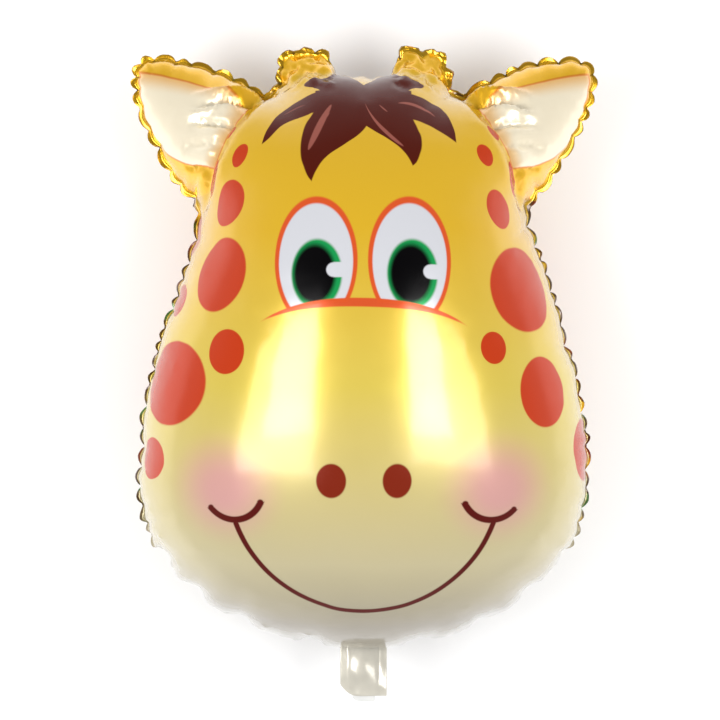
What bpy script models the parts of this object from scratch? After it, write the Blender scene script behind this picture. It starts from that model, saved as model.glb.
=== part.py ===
"""A foil balloon in the shape of a giraffe's head, inflated and lying on its back.

Metres, +Z up. The floor is at Z 0, the face looks up, the crown points to +Y, and the
origin is the middle of the balloon's outline on the floor. The foil is sealed all round, so
the inflated envelope is one solid: head, ears, horns, the flat seam around them and the
neck below the chin, which holds the film of the filling valve.

It is drawn with the chin at the origin and the seam at Z 0, and set on the floor last.
"""

import math

import bmesh
import bpy
from mathutils import Matrix, Vector
from mathutils.geometry import interpolate_bezier

# Head, inside its seam
HEAD_LENGTH = 0.598
HEAD_WIDTH = 0.470
FRONT_DEPTH = 0.165
BACK_DEPTH = 0.165
FLAT_DEPTH = 0.011
DEEPEST_SHARE = 0.42
FULLNESS = 2.15

# Puckers, where the sealed edge is gathered
PUCKER_COUNT = 34
PUCKER_DEPTH = 0.0055
PUCKER_SIDES = 0.45
CHIN_HEIGHT = 0.200

# Ears, measured along and across their own axis from the middle of the root
EAR_ROOT = (0.135, 0.523)
EAR_LENGTH = 0.121
EAR_WIDTH = 0.112
EAR_DEPTH = 0.028
EAR_ANGLE = math.radians(37.5)

# Horns, the same
HORN_ROOT = (0.060, 0.586)
HORN_LENGTH = 0.038
HORN_WIDTH = 0.055
HORN_DEPTH = 0.018
HORN_ANGLE = math.radians(85)

# Seam margin, outside the line where the two sheets are sealed
SEAM_WIDTH = 0.008
SEAM_THICKNESS = 0.0012
SEAM_TAB = 0.020
SEAM_NOTCH = 0.004

# Neck, with the channel that the filling valve sits in
NECK_OUTLINE = (
    (0.0245, 0.022),
    (-0.0245, 0.022),
    (-0.0245, -0.036),
    (-0.0205, -0.043),
    (-0.0120, -0.0485),
    (0.0, -0.0515),
    (0.0190, -0.0495),
    (0.0245, -0.046),
)
NECK_THICKNESS = 0.0016
CHANNEL_WIDTH = 0.031
CHANNEL_ROOT = 0.020
CHANNEL_END = -0.0490
CHANNEL_DEEP = 0.022
CHANNEL_SHALLOW = 0.006
VALVE_WIDTH = 0.024
VALVE_THICKNESS = 0.0012
VALVE_INSIDE = -0.020
VALVE_OUTSIDE = -0.0575
CLEARANCE = 0.0003

# Half outlines, from the foot to the tip: (handle before, point, handle after), across as a
# share of half the width and along as a share of the length
HEAD_SHAPE = (
    ((0.0, 0.0), (0.0, 0.0), (0.49, 0.0)),
    ((1.0, 0.105), (1.0, 0.300), (1.0, 0.440)),
    ((0.785, 0.660), (0.712, 0.790), (0.660, 0.880)),
    ((0.590, 0.925), (0.460, 0.958), (0.330, 0.990)),
    ((0.180, 1.0), (0.0, 1.0), (0.0, 1.0)),
)
EAR_SHAPE = (
    ((0.0, -0.290), (0.0, -0.290), (0.60, -0.290)),
    ((0.980, -0.220), (1.0, -0.020), (0.980, 0.160)),
    ((0.830, 0.470), (0.680, 0.633), (0.560, 0.765)),
    ((0.440, 0.890), (0.300, 0.975), (0.200, 1.0)),
    ((0.100, 1.0), (0.0, 1.0), (0.0, 1.0)),
)
HORN_SHAPE = (
    ((0.0, -0.700), (0.0, -0.700), (0.50, -0.700)),
    ((0.900, -0.600), (0.960, -0.100), (0.980, 0.200)),
    ((1.0, 0.300), (1.0, 0.520), (1.0, 0.880)),
    ((0.740, 1.0), (0.480, 1.0), (0.300, 1.0)),
    ((0.150, 0.930), (0.0, 0.930), (0.0, 0.930)),
)

# The line of the seam up one side, round head, ear and horn, in metres
SEAM_LINE = (
    ((0.0, 0.0), (0.0, 0.0), (0.114, 0.0)),
    ((0.235, 0.063), (0.235, 0.179), (0.235, 0.263)),
    ((0.183, 0.392), (0.1685, 0.458), (0.1665, 0.472)),
    ((0.172, 0.478), (0.1785, 0.486), (0.200, 0.506)),
    ((0.234, 0.553), (0.2385, 0.589), (0.2405, 0.602)),
    ((0.234, 0.613), (0.220, 0.613), (0.190, 0.6135)),
    ((0.144, 0.591), (0.120, 0.580), (0.110, 0.575)),
    ((0.0985, 0.571), (0.0925, 0.579), (0.0890, 0.584)),
    ((0.0885, 0.592), (0.0865, 0.602), (0.0845, 0.613)),
    ((0.082, 0.6235), (0.0745, 0.6235), (0.066, 0.6195)),
    ((0.060, 0.6195), (0.052, 0.6230), (0.044, 0.6265)),
    ((0.0375, 0.616), (0.0350, 0.609), (0.0325, 0.602)),
    ((0.026, 0.598), (0.018, 0.598), (0.012, 0.598)),
    ((0.0, 0.598), (0.0, 0.598), (0.0, 0.598)),
)
CURVE_STEPS = 24
HEAD_RINGS = 18
EAR_SEGMENTS = 48
EAR_RINGS = 8
HORN_SEGMENTS = 36
HORN_RINGS = 6
CHANNEL_SEGMENTS = 32
POINTS_A_PUCKER = 4
PUCKER_SHAPE = (1.0, 0.30, 0.0, 0.30)
PUCKER_FADE = 12
TAB_SHAPE = (1.0, 0.12, 0.0, 0.12)

FOIL_COLOUR = (0.80, 0.52, 0.06, 1)
FILM_COLOUR = (0.82, 0.82, 0.76, 1)


def clear_scene():
    for old in list(bpy.data.objects):
        bpy.data.objects.remove(old, do_unlink=True)


def new_collection(name):
    made = bpy.data.collections.new(name)
    bpy.context.scene.collection.children.link(made)
    return made


def material(name, colour, roughness, metallic):
    made = bpy.data.materials.new(name)
    made.use_nodes = True
    shader = made.node_tree.nodes["Principled BSDF"]
    shader.inputs["Base Color"].default_value = colour
    shader.inputs["Roughness"].default_value = roughness
    shader.inputs["Metallic"].default_value = metallic
    return made


def add(name, mesh, where):
    made = bpy.data.objects.new(name, mesh)
    where.objects.link(made)
    return made


def as_helper(obj):
    """A solid that only shapes another one."""
    obj.hide_render = True
    obj.display_type = "WIRE"
    return obj


def boolean(target, other, operation):
    made = target.modifiers.new(other.name, "BOOLEAN")
    made.object = other
    made.operation = operation
    made.solver = "EXACT"


def half_outline(shape, half_width, length):
    """The points of one side of an outline, from foot to tip."""
    points = []
    for (_, start, leave), (arrive, end, _) in zip(shape, shape[1:]):
        corners = [
            Vector((x * half_width, y * length, 0)) for x, y in (start, leave, arrive, end)
        ]
        points += interpolate_bezier(*corners, CURVE_STEPS)[:-1]
    return points + [Vector((0, shape[-1][1][1] * length, 0))]


def whole_outline(shape, width, length):
    """The closed outline, from the foot up the +X side and back down the other."""
    right = half_outline(shape, width / 2, length)
    left = [Vector((-p.x, p.y, 0)) for p in reversed(right[1:-1])]
    return right + left


def spaced(outline, count):
    """Points at equal steps along a closed outline, starting at its first point."""
    ends = outline[1:] + outline[:1]
    steps = [(b - a).length for a, b in zip(outline, ends)]
    step = sum(steps) / count
    points = []
    walked = 0.0
    for start, end, length in zip(outline, ends, steps):
        while len(points) < count and len(points) * step < walked + length:
            points.append(start.lerp(end, (len(points) * step - walked) / length))
        walked += length
    return points


def perimeter(outline):
    return sum((b - a).length for a, b in zip(outline, outline[1:] + outline[:1]))


def outward(outline, index):
    """The direction straight out of a closed outline that runs anticlockwise."""
    along = outline[(index + 1) % len(outline)] - outline[index - 1]
    return Vector((along.y, -along.x, 0)).normalized()


def pucker_depth(spot):
    """The puckers are deepest under the chin and shallow along the sides."""
    lift = min(1.0, max(0.0, spot.y / CHIN_HEIGHT))
    return PUCKER_DEPTH * (1 - (1 - PUCKER_SIDES) * lift)


def lobe(name, outline, centre, rings, front, back, where, puckered=False, flat=0.0):
    """An inflated cushion: a sphere whose equator is the seam and whose poles are the faces.

    The back is pressed flat where it would reach further than its depth less `flat`.
    """
    count = len(outline)
    shell = bmesh.new()
    bmesh.ops.create_uvsphere(shell, u_segments=count, v_segments=rings, radius=1)
    for vertex in shell.verts:
        level = max(-1.0, min(1.0, vertex.co.z))
        around = math.atan2(vertex.co.y, vertex.co.x) / (2 * math.pi)
        index = round(around * count) % count
        spread = math.sqrt(1 - level * level)
        spot = centre.lerp(outline[index], spread ** (2 / FULLNESS))
        height = (front if level > 0 else back) * abs(level) ** (2 / FULLNESS)
        if puckered:
            pinch = PUCKER_SHAPE[index % POINTS_A_PUCKER] * spread**PUCKER_FADE
            spot -= outward(outline, index) * pucker_depth(spot) * pinch
            height *= 1 - pinch / 4
        if level < 0:
            height = min(height, back - flat)
        vertex.co = (spot.x, spot.y, math.copysign(height, level))
    mesh = bpy.data.meshes.new(name)
    shell.to_mesh(mesh)
    shell.free()
    mesh.shade_smooth()
    return add(name, mesh, where)


def flat_plate(name, points, thickness, where):
    """A flat piece cut to a closed outline, lying in the plane of the seam."""
    curve = bpy.data.curves.new(name, "CURVE")
    curve.dimensions = "2D"
    curve.fill_mode = "BOTH"
    curve.extrude = thickness / 2
    spline = curve.splines.new("POLY")
    spline.points.add(len(points) - 1)
    for target, point in zip(spline.points, points):
        target.co = (point.x, point.y, 0, 1)
    spline.use_cyclic_u = True
    drawn = add(name, curve, where)
    bpy.context.view_layer.update()
    graph = bpy.context.evaluated_depsgraph_get()
    mesh = bpy.data.meshes.new_from_object(drawn.evaluated_get(graph))
    made = add(name + "_plate", mesh, where)
    made.matrix_world = drawn.matrix_world
    bpy.data.objects.remove(drawn, do_unlink=True)
    shell = bmesh.new()
    shell.from_mesh(mesh)
    bmesh.ops.remove_doubles(shell, verts=shell.verts, dist=thickness / 20)
    bmesh.ops.recalc_face_normals(shell, faces=shell.faces)
    shell.to_mesh(mesh)
    shell.free()
    return made


def seam_margin(where):
    """The flat margin outside the seam, gathered into rounded tabs."""
    outline = whole_outline(SEAM_LINE, 2, 1)
    tabs = round(perimeter(outline) / SEAM_TAB)
    points = spaced(outline, tabs * len(TAB_SHAPE))
    edge = [
        point + outward(points, i) * (SEAM_WIDTH - SEAM_NOTCH * TAB_SHAPE[i % len(TAB_SHAPE)])
        for i, point in enumerate(points)
    ]
    return flat_plate("seam_margin", edge, SEAM_THICKNESS, where)


def side_lobes(name, shape, sizes, root, angle, detail, where):
    """An ear or a horn on both sides of the head."""
    width, length, depth = sizes
    segments, rings = detail
    outline = spaced(whole_outline(shape, width, length), segments)
    place = Matrix.Translation((*root, 0)) @ Matrix.Rotation(angle - math.pi / 2, 4, "Z")
    made = []
    for label, side in (("right", 1), ("left", -1)):
        piece = lobe(f"{name}_{label}", outline, Vector(), rings, depth, depth, where)
        piece.data.transform(Matrix.Scale(side, 4, (1, 0, 0)) @ place)
        if side < 0:
            piece.data.flip_normals()
        made.append(as_helper(piece))
    return made


def box(name, width, low, high, thickness, where):
    """A flat strip about the centre line, from one height under the chin to another."""
    shell = bmesh.new()
    bmesh.ops.create_cube(shell, size=1)
    shift = Matrix.Translation((0, (low + high) / 2, 0))
    sides = Matrix.Diagonal((width, high - low, thickness, 1))
    bmesh.ops.transform(shell, matrix=shift @ sides, verts=shell.verts)
    mesh = bpy.data.meshes.new(name)
    shell.to_mesh(mesh)
    shell.free()
    return add(name, mesh, where)


def neck_parts(where):
    """The neck's flat sheet and the channel swelling out of it towards the head."""
    sheet = flat_plate(
        "neck_sheet", [Vector((*p, 0)) for p in NECK_OUTLINE], NECK_THICKNESS, where
    )
    shell = bmesh.new()
    bmesh.ops.create_cone(
        shell, cap_ends=True, segments=CHANNEL_SEGMENTS, radius1=CHANNEL_SHALLOW / 2,
        radius2=CHANNEL_DEEP / 2, depth=CHANNEL_ROOT - CHANNEL_END,
    )
    for vertex in shell.verts:
        across, deep, along = vertex.co
        reach = math.hypot(across, deep)
        middle = (CHANNEL_ROOT + CHANNEL_END) / 2
        vertex.co = (-across / reach * CHANNEL_WIDTH / 2, along + middle, deep)
    bmesh.ops.recalc_face_normals(shell, faces=shell.faces)
    mesh = bpy.data.meshes.new("neck_channel")
    shell.to_mesh(mesh)
    shell.free()
    return [as_helper(sheet), as_helper(add("neck_channel", mesh, where))]


def filling_valve(where, cutters):
    """The film strip in the neck's channel, and the pocket it sits in."""
    valve = box(
        "filling_valve", VALVE_WIDTH, VALVE_OUTSIDE, VALVE_INSIDE, VALVE_THICKNESS, where
    )
    pocket = box(
        "valve_pocket",
        VALVE_WIDTH + 2 * CLEARANCE,
        VALVE_OUTSIDE - CLEARANCE,
        VALVE_INSIDE + CLEARANCE,
        VALVE_THICKNESS + 2 * CLEARANCE,
        cutters,
    )
    return valve, as_helper(pocket)


def rest_on_floor(pieces):
    """Moves everything so that the origin is the middle of the outline, on the floor."""
    points = [vertex.co for piece in pieces for vertex in piece.data.vertices]
    low = Vector(map(min, zip(*points)))
    high = Vector(map(max, zip(*points)))
    shift = Vector((-(low.x + high.x) / 2, -(low.y + high.y) / 2, -low.z))
    for item in bpy.data.objects:
        item.data.transform(Matrix.Translation(shift))


def main():
    clear_scene()
    balloon = new_collection("giraffe_balloon")
    cutters = new_collection("cutters")
    outline = spaced(
        whole_outline(HEAD_SHAPE, HEAD_WIDTH, HEAD_LENGTH), PUCKER_COUNT * POINTS_A_PUCKER
    )
    envelope = lobe(
        "envelope", outline, Vector((0, HEAD_LENGTH * DEEPEST_SHARE, 0)), HEAD_RINGS,
        FRONT_DEPTH, BACK_DEPTH, balloon, puckered=True, flat=FLAT_DEPTH,
    )
    envelope.data.materials.append(material("printed_foil", FOIL_COLOUR, 0.25, 0.6))

    joined = [as_helper(seam_margin(cutters))]
    joined += side_lobes(
        "ear", EAR_SHAPE, (EAR_WIDTH, EAR_LENGTH, EAR_DEPTH), EAR_ROOT, EAR_ANGLE,
        (EAR_SEGMENTS, EAR_RINGS), cutters,
    )
    joined += side_lobes(
        "horn", HORN_SHAPE, (HORN_WIDTH, HORN_LENGTH, HORN_DEPTH), HORN_ROOT, HORN_ANGLE,
        (HORN_SEGMENTS, HORN_RINGS), cutters,
    )
    joined += neck_parts(cutters)
    for piece in joined:
        boolean(envelope, piece, "UNION")
    valve, pocket = filling_valve(balloon, cutters)
    valve.data.materials.append(material("valve_film", FILM_COLOUR, 0.3, 0.0))
    boolean(envelope, pocket, "DIFFERENCE")
    rest_on_floor([envelope, valve, *joined])


main()
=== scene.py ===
"""A giraffe-head foil balloon, filled and lying on its back on a pale studio floor.

The two printed sheets are cut from one flat pattern, sealed along its edge and filled, so
the puckers, the scalloped edge and the foreshortening of the print all come from the
pattern. Lengths are metres. The pattern has its own flat coordinates: x from the middle
line, y from the chin towards the crown.
"""

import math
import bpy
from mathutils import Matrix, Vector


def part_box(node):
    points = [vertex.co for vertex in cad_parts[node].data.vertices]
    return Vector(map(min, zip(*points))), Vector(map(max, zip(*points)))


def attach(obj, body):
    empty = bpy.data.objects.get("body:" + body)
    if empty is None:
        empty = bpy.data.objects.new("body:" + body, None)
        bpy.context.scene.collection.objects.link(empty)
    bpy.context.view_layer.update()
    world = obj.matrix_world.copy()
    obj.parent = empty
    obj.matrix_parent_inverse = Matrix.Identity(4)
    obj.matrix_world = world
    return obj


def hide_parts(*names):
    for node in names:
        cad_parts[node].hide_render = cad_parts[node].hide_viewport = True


bl_info = {
    "name": "Giraffe head foil balloon",
    "version": (1, 0, 0),
    "blender": (4, 5, 0),
    "location": "3D View > Sidebar > Balloon",
    "description": "Builds a filled giraffe-head foil balloon and its studio",
    "category": "Object",
}

import bmesh
import bpy
import numpy as np
from bpy.props import FloatProperty, FloatVectorProperty, IntProperty, PointerProperty
from mathutils import Vector, noise
from mathutils.geometry import delaunay_2d_cdt, interpolate_bezier

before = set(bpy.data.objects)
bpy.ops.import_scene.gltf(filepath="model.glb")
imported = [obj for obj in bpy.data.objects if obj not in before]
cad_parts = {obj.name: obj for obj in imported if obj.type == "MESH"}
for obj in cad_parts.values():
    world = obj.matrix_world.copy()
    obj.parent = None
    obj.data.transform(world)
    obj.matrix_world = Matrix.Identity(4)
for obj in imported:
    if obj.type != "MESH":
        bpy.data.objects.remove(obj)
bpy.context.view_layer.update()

# The tip of the chin in the part's frame: the drawing of the head starts there
NECK_REACH = 0.0515
SEAM_HEIGHT = 0.154
envelope_low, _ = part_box("envelope")
CHIN = Vector((0.0, envelope_low[1] + NECK_REACH, SEAM_HEIGHT))

# The line of the seam up one side of the filled balloon: chin, cheek, ear, horn, crown
SEAM_LINE = (
    ((0.0, 0.0), (0.0, 0.0), (0.114, 0.0)),
    ((0.235, 0.063), (0.235, 0.179), (0.2375, 0.272)),
    ((0.1885, 0.392), (0.1705, 0.456), (0.1690, 0.464)),
    ((0.175, 0.467), (0.1885, 0.480), (0.2060, 0.502)),
    ((0.234, 0.553), (0.2385, 0.589), (0.2405, 0.602)),
    ((0.234, 0.613), (0.220, 0.613), (0.190, 0.6155)),
    ((0.150, 0.603), (0.122, 0.587), (0.114, 0.580)),
    ((0.1000, 0.573), (0.0930, 0.579), (0.0890, 0.584)),
    ((0.0885, 0.592), (0.0865, 0.602), (0.0845, 0.613)),
    ((0.082, 0.6235), (0.0745, 0.6235), (0.066, 0.6195)),
    ((0.060, 0.6195), (0.052, 0.6230), (0.044, 0.6265)),
    ((0.0375, 0.616), (0.0350, 0.609), (0.0325, 0.602)),
    ((0.026, 0.598), (0.018, 0.598), (0.012, 0.598)),
    ((0.0, 0.598), (0.0, 0.598), (0.0, 0.598)),
)
CURVE_STEPS = 24

# Where the ear leaves the head, as (height, distance from the middle) on the flat sheet
EAR_ROOT_LINE = (
    (0.470, 0.210), (0.4848, 0.2030), (0.5100, 0.1795), (0.5330, 0.1580), (0.5690, 0.1380),
    (0.6300, 0.1230), (0.660, 0.118),
)
# Deep folds under the chin, on the filled seam
CHIN_FOLDS = (
    (-0.2168, 0.0935), (-0.1800, 0.0580), (-0.1307, 0.0284), (-0.0551, 0.0050),
    (0.0562, 0.0020), (0.1244, 0.0252), (0.1769, 0.0546), (0.2168, 0.0935),
)
# Creases at an ear's root on the flat sheet: ends, half width and height
EAR_CREASES = (
    ((0.126, 0.622), (0.196, 0.604), 0.0100, 0.0100),
    ((0.132, 0.605), (0.190, 0.588), 0.0085, -0.0130),
    ((0.142, 0.584), (0.200, 0.586), 0.0080, 0.0070),
    ((0.148, 0.564), (0.196, 0.574), 0.0080, -0.0120),
    ((0.164, 0.542), (0.206, 0.552), 0.0080, -0.0080),
    ((0.184, 0.520), (0.214, 0.530), 0.0070, -0.0055),
)
# Valley along an ear's root
ROOT_WIDTH = 0.011
ROOT_DEPTH = 0.0065
# The places of the filled seam from which ears and horns take their own gain
EAR_START = 0.165
EAR_HEIGHT = 0.460
EAR_BLEND = 0.012
CROWN_HEIGHT = 0.575
# Grid of points on a sheet: height of its rows, scatter, and how much coarser a trial's is
ROW_HEIGHT = 0.866
SCATTER = 0.2
TRIAL_COARSENING = 1.8
# Depth of the first guess at a filled sheet
FIRST_DEPTH = 0.155
TRIAL_DEPTH = 0.15


def metres(name, description, default):
    """A length that can be set."""
    return FloatProperty(name=name, description=description, default=default, unit="LENGTH")


def ratio(name, description, default):
    """A flat size over a filled one."""
    return FloatProperty(name=name, description=description, default=default, min=1.0)


def number_of(name, description, default):
    """A count of 1 or more."""
    return IntProperty(name=name, description=description, default=default, min=1)


class BalloonShape(bpy.types.PropertyGroup):
    """Sizes of the foil and of how it fills."""

    width_gain: ratio("Width gain", "Flat width over filled width", 1.26)
    length_gain: ratio("Length gain", "Flat length over filled length", 1.17)
    ear_gain: ratio("Ear gain", "The same for ears and horns", 1.10)
    fine_step: metres("Fine step", "Spacing of points near the seam", 0.006)
    coarse_step: metres("Coarse step", "Spacing of points in the middle of a sheet", 0.014)
    margin: metres("Margin", "Width of the sealed edge outside the seam", 0.0085)
    pucker_pitch: metres("Pucker pitch", "Distance between puckers along the flat seam", 0.0215)
    pucker_depth: metres("Pucker depth", "Depth of a pucker at the seam", 0.0042)
    crumple: metres("Horn crumple", "Depth of the dents in the small horns", 0.0046)
    fill_steps: number_of("Fill steps", "Steps of the filling", 300)
    fittings: number_of("Fittings", "Trial fillings that correct the flat pattern", 5)
    trial_step: metres("Trial step", "Spacing of points in a trial filling", 0.010)
    trial_fill_steps: number_of("Trial fill steps", "Steps of each trial filling", 240)


def ink(name, description, *levels):
    """A colour of the print, given as it looks on a screen, 0 to 255."""
    return FloatVectorProperty(
        name=name, description=description, subtype="COLOR_GAMMA", size=3, min=0, max=1,
        default=[level / 255 for level in levels],
    )


class PrintColours(bpy.types.PropertyGroup):
    """The inks on the two sheets; the chin and margin colours also carry painted shade, the
    ears' edge colour painted reflection.
    """

    crown: ink("Crown", "Yellow of the forehead", 219, 175, 38)
    muzzle: ink("Muzzle", "Paler yellow of the muzzle", 213, 190, 82)
    jaw: ink("Jaw", "Cream under the mouth", 199, 188, 150)
    # Partly the print's off-white, partly painted shade: greyed where the chin curves down to
    # its seam
    chin: ink("Chin", "Off-white at the seam of the chin", 156, 149, 134)
    spot: ink("Spots", "Orange red of the coat's spots", 190, 56, 14)
    outline: ink("Outline", "Orange line round the eyes and over the muzzle", 212, 84, 38)
    eye: ink("Eye", "White of the eyes", 206, 207, 212)
    iris: ink("Iris", "Green ring of the eyes", 22, 148, 76)
    pupil: ink("Pupil", "Black of the eyes", 4, 3, 4)
    nostril: ink("Nostril", "Red brown of the nostrils", 128, 38, 18)
    mouth: ink("Mouth", "Dark brown of the mouth line", 88, 18, 12)
    blush: ink("Blush", "Pink of the cheeks", 216, 138, 164)
    hair: ink("Forelock", "Brown of the forelock", 80, 20, 6)
    hair_light: ink("Forelock light", "Paler strokes in the forelock", 150, 84, 72)
    ear: ink("Ear", "Cream inside the ears", 246, 234, 206)
    # Painted reflection of the orange rim and the head on the ear's cream, towards the panel's
    # upper edge and the ear's root
    ear_edge: ink("Ear edge", "Peach tone at the upper edge inside the ears", 236, 186, 112)
    gold: ink("Gold", "Gold of the ears' rims and the horns", 246, 190, 32)
    # Also painted shade on the gold margins of ears and horns, deepest in the notches between
    # the tabs
    margin: ink("Margin", "Dark edge of the sealed margin", 66, 36, 18)


class StudioSettings(bpy.types.PropertyGroup):
    """The floor and the camera."""

    floor_colour: FloatVectorProperty(
        name="Floor", description="Colour of the floor", subtype="COLOR", size=3,
        default=(0.93, 0.93, 0.935),
    )
    camera_height: metres("Camera height", "Height of the camera over the seam", 2.4)
    picture_width: metres("Picture width", "Width seen at the height of the seam", 0.756)


def bezier_chain(shape):
    """Points along one side of an outline, from (handle, point, handle) triples."""
    points = []
    for (_, start, leave), (arrive, end, _) in zip(shape, shape[1:]):
        corners = [Vector((*corner, 0)) for corner in (start, leave, arrive, end)]
        points += interpolate_bezier(*corners, CURVE_STEPS)[:-1]
    return points + [Vector((*shape[-1][1], 0))]


def both_sides(right):
    """A closed outline from one side of it, anticlockwise from the chin."""
    return right + [Vector((-p.x, p.y, 0)) for p in reversed(right[1:-1])]


def cut_pattern(point, shape):
    """Where a point of the filled seam lies on the flat sheet."""
    across, up = abs(point.x), point.y
    side = 1 if point.x >= 0 else -1
    in_ear = 1 / (1 + math.exp(-(up - EAR_HEIGHT) / EAR_BLEND))
    head = shape.width_gain * across
    ear = shape.width_gain * min(across, EAR_START) + shape.ear_gain * max(
        0.0, across - EAR_START
    )
    length = shape.length_gain * min(up, CROWN_HEIGHT) + shape.ear_gain * max(
        0.0, up - CROWN_HEIGHT
    )
    return Vector((side * (head * (1 - in_ear) + ear * in_ear), length, 0))


def walk(outline, partner, step):
    """Even steps along a closed outline, with the same places on its partner."""
    ends = outline[1:] + outline[:1]
    lengths = [(b - a).length for a, b in zip(outline, ends)]
    count = 2 * round(sum(lengths) / step / 2)
    pace = sum(lengths) / count
    points, partners, walked = [], [], 0.0
    for i, (start, end, length) in enumerate(zip(outline, ends, lengths)):
        while len(points) < count and len(points) * pace < walked + length - 1e-12:
            share = (len(points) * pace - walked) / length
            points.append(start.lerp(end, share).to_2d())
            partners.append(partner[i].lerp(partner[(i + 1) % len(partner)], share).to_2d())
        walked += length
    return np.array(points), np.array(partners)


def inside(points, outline):
    """Which points lie inside a closed outline."""
    x, y = points.T
    found = np.zeros(len(points), bool)
    for (ax, ay), (bx, by) in zip(outline, np.roll(outline, -1, 0)):
        if ay != by:
            crossing = (bx - ax) * (y - ay) / (by - ay) + ax
            found ^= ((ay > y) != (by > y)) & (x < crossing)
    return found


def nearest_on(points, outline):
    """How far each point is from the outline, and at which share of its steps."""
    best = np.full(len(points), np.inf)
    place = np.zeros(len(points))
    for i, (start, end) in enumerate(zip(outline, np.roll(outline, -1, 0))):
        along = end - start
        share = np.clip(((points - start) @ along) / (along @ along), 0, 1)
        away = np.hypot(*(points - start - share[:, None] * along).T)
        closer = away < best
        best[closer] = away[closer]
        place[closer] = i + share[closer]
    return best, place


def scattered(outline, step, rng):
    """Points of a loose triangular grid inside the outline, and how far from it they are."""
    low, high = outline.min(0), outline.max(0)
    rows = []
    for row, y in enumerate(np.arange(low[1], high[1], step * ROW_HEIGHT)):
        x = np.arange(low[0] + (row % 2) * step / 2, high[0], step)
        rows.append(np.column_stack([x, np.full(len(x), y)]))
    points = np.vstack(rows)
    points += rng.uniform(-SCATTER, SCATTER, points.shape) * step
    points = points[inside(points, outline)]
    return points, nearest_on(points, outline)[0]


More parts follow.
